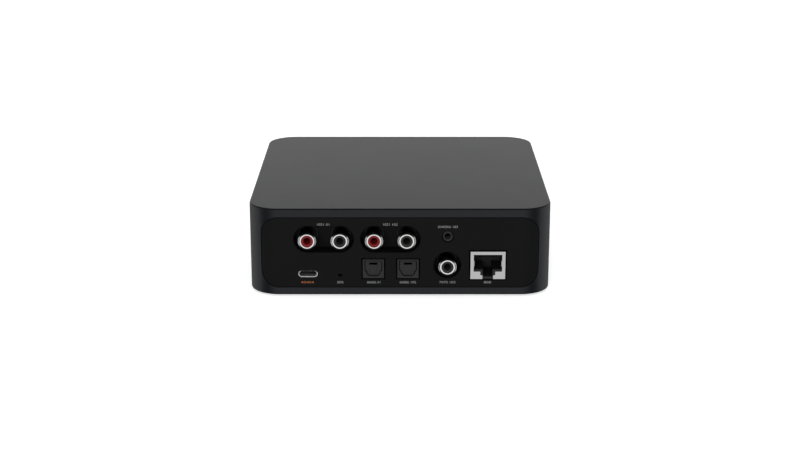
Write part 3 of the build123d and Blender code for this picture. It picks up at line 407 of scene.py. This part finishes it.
# Each mark is (digits, x, z, width, ink), in millimetres.
marks = (
    ("1021 01", 35.2, pair_row, 5.6, grey_ink),
    ("1021 102", 4.4, pair_row, 6.6, grey_ink),
    ("3040506 103", -21.9, trigger_row, 9.2, grey_ink),
    ("40404", 42.9, lower_row, 6.0, orange_ink),
    ("505", 27.7, lower_row, 2.9, grey_ink),
    ("60606 01", 12.2, lower_row, 6.2, grey_ink),
    ("60606 102", -3.6, lower_row, 7.6, grey_ink),
    ("7070 103", -21.9, lower_row, 7.4, grey_ink),
    ("808", -40.5, lower_row, 3.3, grey_ink),
)
to_the_rear = Matrix.Rotation(math.pi, 4, "Z") @ Matrix.Rotation(math.pi / 2, 4, "X")
for digits, x, z, width, ink in marks:
    name = "mark_" + digits.replace(" ", "_")
    curve = bpy.data.curves.new(name, "FONT")
    curve.body = digits
    curve.offset = ink_swell
    letters = bpy.data.objects.new(name, curve)
    flat_mesh = bpy.data.meshes.new_from_object(letters)
    bpy.data.objects.remove(letters)
    bm = bmesh.new()
    bm.from_mesh(flat_mesh)
    bpy.data.meshes.remove(flat_mesh)
    corners = [[pick(vert.co[axis] for vert in bm.verts) for axis in range(3)] for pick in (min, max)]
    low, high = [Vector(corner) for corner in corners]
    bmesh.ops.translate(bm, vec=-(low + high) / 2, verts=bm.verts)
    spread = (width / (high.x - low.x) / 1000, digit_height / (high.y - low.y) / 1000, 1.0)
    bmesh.ops.scale(bm, vec=spread, verts=bm.verts)
    bm.transform(Matrix.Translation((x / 1000, ink_y / 1000, z / 1000)) @ to_the_rear)
    thicken(bm, (0.0, -ink_thick / 1000, 0.0))
    add_piece(bm, name, ink)


# Phono sockets: turned brass barrels with bright nickel plate and a chamfered rim, a coloured
# insulator pressed into each, and a gold-flashed split sleeve deep in the hole for the plug's pin.


def middle(node):
    """The middle of a CAD node's box, as (x, z) in mm, rounded because its facets are uneven."""
    low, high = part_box(node)
    return round((low.x + high.x) * 500, 2), round((low.z + high.z) * 500, 2)


def turned(bm, profile, x, z, steps=72, angle=2 * math.pi, start=0.0):
    """A shape turned about the line along Y through (x, z); its profile is (radius, y), in mm."""
    centre = Vector((x / 1000, 0.0, z / 1000))
    away = Vector((math.cos(start), 0.0, math.sin(start)))
    verts = [bm.verts.new(centre + away * r / 1000 + Vector((0.0, y / 1000, 0.0))) for r, y in profile]
    edges = [bm.edges.new(pair) for pair in zip(verts, verts[1:] + verts[:1])]
    whole = angle > 2 * math.pi - 0.001
    ends = bmesh.ops.spin(bm, geom=verts + edges, cent=centre, axis=(0.0, -1.0, 0.0), angle=angle,
                          steps=steps, use_merge=whole)
    if not whole:
        bm.faces.new(verts)
        bm.faces.new([item for item in ends["geom_last"] if isinstance(item, bmesh.types.BMVert)])


nickel_plate = metal("nickel_plate", (0.72, 0.72, 0.71), 0.16, 9000.0, 0.0000005, 0.03, (0.02, 1.0, 0.02))
red_nylon = moulded("red_nylon", (0.165, 0.0085, 0.010), 0.42, 0.35)
black_nylon = moulded("black_nylon", (0.020, 0.020, 0.0205), 0.42, 0.35)
gold_flash = metal("gold_flash", (0.80, 0.58, 0.25), 0.28)
socket_plastic = moulded("socket_plastic", (0.012, 0.012, 0.0125), 0.5, 0.3)
wear(socket_plastic, "line_in_block", "line_out_block", "coax_block")

barrel_steps = 96
barrel_profile = (
    (2.91, 54.75), (2.91, 72.74), (2.78, 72.80), (2.75, 72.94), (2.81, 73.07), (2.90, 73.10),
    (3.38, 73.10), (3.48, 73.06), (4.03, 72.70), (4.12, 72.62), (4.15, 72.50), (4.15, 59.45),
    (4.40, 59.45), (4.40, 54.85), (4.32, 54.75),
)
collar_profile = (
    (4.17, 59.50), (4.17, 60.92), (4.22, 60.98), (4.42, 60.98), (4.47, 60.92), (4.47, 59.50),
)
insulator_profile = (
    (1.65, 63.75), (1.65, 72.44), (1.72, 72.62), (1.84, 72.70), (2.00, 72.70), (2.06, 72.86),
    (2.12, 72.90), (2.30, 72.90), (2.36, 72.86), (2.42, 72.70), (2.74, 72.70), (2.82, 72.64),
    (2.88, 72.50), (2.88, 54.75), (2.19, 54.75), (2.19, 63.75),
)
sleeve_profile = (
    (1.66, 55.02), (1.66, 63.50), (1.74, 63.68), (2.05, 63.68), (2.14, 63.58), (2.14, 55.02),
)
sleeve_leaves = 4
leaf_pitch = 360.0 / sleeve_leaves
leaf_angle = 80.0
leaf_steps = 14
pair_nylons = (("red", red_nylon), ("black", black_nylon))
coax_place = middle("coax_insulator")


def phono_barrels(name, places, node):
    """The nickel-plated barrels, which take the outer ring of a plug."""
    bm = bmesh.new()
    for x, z in places:
        turned(bm, barrel_profile, x, z, steps=barrel_steps)
    add_piece(bm, name, nickel_plate, stands_for=(node,), angle=25.0)


def phono_collars(name, places):
    """The block's collars, which fill the panel's holes round the barrels."""
    bm = bmesh.new()
    for x, z in places:
        turned(bm, collar_profile, x, z)
    add_piece(bm, name, socket_plastic)


def phono_insulator(name, x, z, nylon, slot, node):
    """A coloured insulator with a raised ring round its hole."""
    bm = bmesh.new()
    turned(bm, insulator_profile, x, z)
    add_piece(bm, name, nylon, stands_for=(node,))


def phono_sleeves(name, places, node):
    """The sleeves for the plug's pin, each split into sprung leaves."""
    bm = bmesh.new()
    for x, z in places:
        for leaf in range(sleeve_leaves):
            start = math.radians(leaf_pitch * leaf + (leaf_pitch - leaf_angle) / 2)
            turned(bm, sleeve_profile, x, z, leaf_steps, math.radians(leaf_angle), start)
    add_piece(bm, name, gold_flash, stands_for=(node,))


for pair in ("line_in", "line_out"):
    places = [middle(f"{pair}_{colour}_insulator") for colour, nylon in pair_nylons]
    phono_barrels(pair + "_turned_barrels", places, pair + "_barrels")
    phono_collars(pair + "_collars", places)
    phono_sleeves(pair + "_split_sleeves", places, pair + "_centre_contacts")
    for (x, z), (colour, nylon) in zip(places, pair_nylons):
        slot = colour + "_insulator"
        phono_insulator(f"{pair}_{colour}_bush", x, z, nylon, slot, f"{pair}_{colour}_insulator")
phono_barrels("coax_turned_barrel", [coax_place], "coax_barrel")
phono_collars("coax_collar", [coax_place])
phono_sleeves("coax_split_sleeve", [coax_place], "coax_centre_contact")
phono_insulator("coax_bush", *coax_place, black_nylon, "black_insulator", "coax_insulator")


# Trigger output: a small jack for a slim plug, with a moulded bushing almost flush in the panel
# and two gold-flashed contact leaves behind it.

trigger_profile = (
    (1.80, 63.12), (1.80, 69.50), (1.82, 69.58), (1.85, 69.60), (1.98, 69.60), (2.01, 69.58),
    (2.02, 69.52), (2.02, 69.02), (2.10, 68.90), (2.10, 63.12),
)
bushing_plastic = moulded("bushing_plastic", (0.064, 0.064, 0.064), 0.45, 0.3)
bm = bmesh.new()
turned(bm, trigger_profile, *middle("trigger_collar"))
add_piece(bm, "trigger_bushing", bushing_plastic, stands_for=("trigger_collar",))
wear(socket_plastic, "trigger_block")
wear(gold_flash, "trigger_contacts")


# Optical sockets: square moulded housings, each with a sprung shutter hung on a steel pin along
# its top edge, which swings in and up when a plug is pushed home.


def soften(node, width, angle=40.0):
    """Rounds the sharp edges of a CAD node as its mould or press would; the width is in mm."""
    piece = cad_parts[node]
    weld = piece.modifiers.new("weld", "WELD")
    weld.merge_threshold = 0.000001
    bevel = piece.modifiers.new("edges", "BEVEL")
    bevel.width = width / 1000
    bevel.segments = 2
    bevel.limit_method = "ANGLE"
    bevel.angle_limit = math.radians(angle)
    bevel.use_clamp_overlap = True
    bevel.harden_normals = True


shutter_plastic = moulded("shutter_plastic", (0.022, 0.022, 0.022), 0.5, 0.15)
black_steel = metal("black_steel", (0.035, 0.033, 0.032), 0.35)
for socket in ("optical_in", "optical_out"):
    wear(shutter_plastic, socket + "_housing", socket + "_shutter")
    wear(black_steel, socket + "_hinge_pin", socket + "_spring")
    soften(socket + "_housing", 0.06)
    soften(socket + "_shutter", 0.12)


# Network socket: a shield folded from tinned sheet round a black moulded insert, which holds
# eight gold-flashed spring wires.

tin_plate = metal("tin_plate", (0.44, 0.44, 0.44), 0.24, 5000.0, 0.000002, 0.05, (1.0, 1.0, 0.03))
wear(tin_plate, "lan_shield")
soften("lan_shield", 0.10)
wear(socket_plastic, "lan_insert")
soften("lan_insert", 0.08)
wear(gold_flash, "lan_contacts")

# Two spring fingers cut from the shield's sides reach into the mouth and earth the plug.
# A finger's line is (distance from the socket's middle, y).
network_x = middle("lan_shield")[0]
finger_low = 14.2
finger_height = 2.7
finger_thick = 0.18
finger_line = (
    (6.62, 69.72), (6.26, 69.66), (6.12, 69.50), (6.04, 69.1), (6.02, 68.2), (6.12, 67.2), (6.50, 65.4),
)
bm = bmesh.new()
for side in (-1, 1):
    verts = [
        bm.verts.new(((network_x + side * u) / 1000, y / 1000, finger_low / 1000)) for u, y in finger_line
    ]
    edges = [bm.edges.new(pair) for pair in zip(verts, verts[1:])]
    made = bmesh.ops.extrude_edge_only(bm, edges=edges)
    bmesh.ops.translate(bm, vec=(0.0, 0.0, finger_height / 1000), verts=new_verts(made))
bmesh.ops.recalc_face_normals(bm, faces=bm.faces)
bmesh.ops.solidify(bm, geom=list(bm.faces), thickness=finger_thick / 1000)
add_piece(bm, "network_side_springs", tin_plate)


# Power inlet: a seamless drawn steel shell with a rolled lip, on two legs soldered to the main board,
# round a black tongue that carries twelve gold contacts on each face.


def block(bm, low, high, bevel):
    """A block between two corners, with its edges rounded; all in millimetres."""
    size = [(h - l) / 1000 for l, h in zip(low, high)]
    centre = [(h + l) / 2000 for l, h in zip(low, high)]
    made = bmesh.ops.create_cube(bm, size=1.0)
    bmesh.ops.scale(bm, vec=size, verts=made["verts"])
    bmesh.ops.translate(bm, vec=centre, verts=made["verts"])
    edges = list({edge for vert in made["verts"] for edge in vert.link_edges})
    bmesh.ops.bevel(bm, geom=edges, offset=bevel / 1000, offset_type="OFFSET", affect="EDGES",
                    segments=2, profile=0.5, material=-1)


inlet_x, inlet_z = middle("usb_tongue")
inlet_half_flat = 2.84
inlet_steps = 64
shell_profile = (
    (1.33, 61.40), (1.33, 68.30), (1.26, 68.56), (1.28, 68.61), (1.64, 68.68), (1.69, 68.66),
    (1.70, 68.60), (1.70, 68.36), (1.63, 68.26), (1.63, 61.40),
)
leg_offset = 4.32
leg_half = 0.15
leg_y = (62.0, 63.2)
leg_z = (8.0, 10.0)
leg_edge = 0.05
inlet_steel = metal("inlet_steel", (0.64, 0.64, 0.64), 0.42)
set_shader(inlet_steel, "Metallic", 0.45)
bm = bmesh.new()
turned(bm, shell_profile, inlet_x, inlet_z, steps=inlet_steps, start=math.pi / inlet_steps)
for side in (-1, 1):
    half = [vert for vert in bm.verts if side * (vert.co.x - inlet_x / 1000) > 0]
    bmesh.ops.translate(bm, vec=(side * inlet_half_flat / 1000, 0.0, 0.0), verts=half)
for side in (-1, 1):
    leg_x = inlet_x + side * leg_offset
    block(bm, (leg_x - leg_half, leg_y[0], leg_z[0]), (leg_x + leg_half, leg_y[1], leg_z[1]), leg_edge)
add_piece(bm, "inlet_drawn_shell", inlet_steel, stands_for=("usb_shell",))
tongue_plastic = moulded("tongue_plastic", (0.005, 0.005, 0.005), 0.45, 0.15)
wear(tongue_plastic, "usb_tongue")
soften("usb_tongue", 0.12)
dull_gold = metal("dull_gold", (0.30, 0.22, 0.11), 0.40)
wear(dull_gold, "usb_contacts")


# Microphone: a small capsule in a drawn metal can, held in a rubber boot
# behind a pinhole of the rear panel.

wear(foot_rubber, "mic_boot")
can_metal = metal("can_metal", (0.66, 0.66, 0.68), 0.30)
wear(can_metal, "mic_capsule")


# The boards: glass and resin laminate under a green solder mask, through which the copper tracks
# show, with tinned pads. The small parts on them are resin-moulded chips, cans and folded tin.

mask_green = (0.010, 0.050, 0.024)
track_green = (0.030, 0.110, 0.045, 1.0)
pad_tin = (0.52, 0.52, 0.50, 1.0)
cells_per_metre = 130.0
track_spacing = 0.05
track_edge = (0.020, 0.026)
pads_per_metre = 260.0
pad_radius = 0.12
solder_mask = moulded("solder_mask", mask_green, 0.35, 0.5)
tree = solder_mask.node_tree
shader = tree.nodes["Principled BSDF"]
place = next(node for node in tree.nodes if node.type == "TEX_COORD")
tint = next(node for node in tree.nodes if node.type == "MIX")
cells = put(tree, "TexVoronoi", {"Scale": cells_per_metre}, distance="CHEBYCHEV")
rings = put(tree, "Math", {1: track_spacing}, operation="PINGPONG")
track = put(tree, "MapRange", {"From Min": track_edge[0], "From Max": track_edge[1]})
copper = put(tree, "Mix", {"B": track_green}, data_type="RGBA")
spots = put(tree, "TexVoronoi", {"Scale": pads_per_metre})
spot = put(tree, "Math", {1: pad_radius}, operation="LESS_THAN")
pads = put(tree, "Mix", {"B": pad_tin}, data_type="RGBA")
join(tree, place.outputs["Object"], cells.inputs["Vector"], spots.inputs["Vector"])
join(tree, cells.outputs["Distance"], rings.inputs[0])
join(tree, rings.outputs[0], track.inputs["Value"])
join(tree, track.outputs["Result"], copper.inputs["Factor"])
join(tree, tint.outputs["Result"], copper.inputs["A"])
join(tree, spots.outputs["Distance"], spot.inputs[0])
join(tree, spot.outputs[0], pads.inputs["Factor"], shader.inputs["Metallic"])
join(tree, copper.outputs["Result"], pads.inputs["A"])
join(tree, pads.outputs["Result"], shader.inputs["Base Color"])
wear(solder_mask, "main_board", "analog_board", "module_board", "touch_board")
spacer_brass = metal("spacer_brass", (0.70, 0.52, 0.26), 0.28)
wear(spacer_brass, "board_spacers")
chip_resin = moulded("chip_resin", (0.018, 0.018, 0.019), 0.55, 0.4)
wear(chip_resin, "lan_transformer", "converter_chips", "logic_chips", "inductors")
wear(chip_resin, "board_header_socket", "board_header_plug", "optical_in_receiver", "optical_out_emitter")
wear(can_metal, "capacitors")
wear(tin_plate, "shield_can", "antennas")


# Front window: a plate of polished black plastic that closes the front of the case. The touch
# board lies behind it, and the signs for its touch fields are screen-printed on the face.

window_gloss = moulded("window_gloss", (0.004, 0.004, 0.0045), 0.07, 0.5, spread=0.02, depth=0.0000005)
wear(window_gloss, "front_window")
touch_ink = moulded("touch_ink", (0.20, 0.20, 0.20), 0.5, 0.3, mottle=0.05)
window_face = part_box("front_window")[0].y * 1000
touch_y = window_face - ink_gap - ink_thick
touch_z = middle("touch_board")[1]
outer_sign_x = 36.0
bar_length = 3.4
bar_width = 0.35
arm_middle = 1.0
arm_length = 1.6
play_sign = ((-13.4, -1.6), (-10.7, 0.0), (-13.4, 1.6))
pause_x = (11.4, 13.0)
pause_width = 0.7
pause_height = 3.0


def touch_mark(name, *outlines):
    """A flat printed sign on the window, made of filled outlines given as (x, z) in mm."""
    bm = bmesh.new()
    for outline in outlines:
        bm.faces.new([bm.verts.new((x / 1000, touch_y / 1000, (touch_z + z) / 1000)) for x, z in outline])
    thicken(bm, (0.0, ink_thick / 1000, 0.0))
    add_piece(bm, name, touch_ink)


def bar(x, z, width, height):
    """The outline of an upright rectangle round (x, z)."""
    return (
        (x - width / 2, z - height / 2), (x + width / 2, z - height / 2),
        (x + width / 2, z + height / 2), (x - width / 2, z + height / 2),
    )


touch_mark("touch_minus", bar(-outer_sign_x, 0.0, bar_length, bar_width))
touch_mark("touch_play", play_sign)
touch_mark("touch_pause", *[bar(x, 0.0, pause_width, pause_height) for x in pause_x])
arms = [bar(outer_sign_x, z, bar_width, arm_length) for z in (arm_middle, -arm_middle)]
touch_mark("touch_plus", bar(outer_sign_x, 0.0, bar_length, bar_width), *arms)


# Status light and ribbon: a clear moulded window for the light, and a flat white film that joins
# the touch board to the main board, with a connector at each end.

clear_resin = moulded("clear_resin", (0.75, 0.78, 0.80), 0.15, 0.5)
set_shader(clear_resin, "Transmission Weight", 0.7)
wear(clear_resin, "status_light")
ribbon_film = moulded("ribbon_film", (0.62, 0.62, 0.60), 0.45, 0.4)
wear(ribbon_film, "ribbon_cable", "ribbon_connectors")
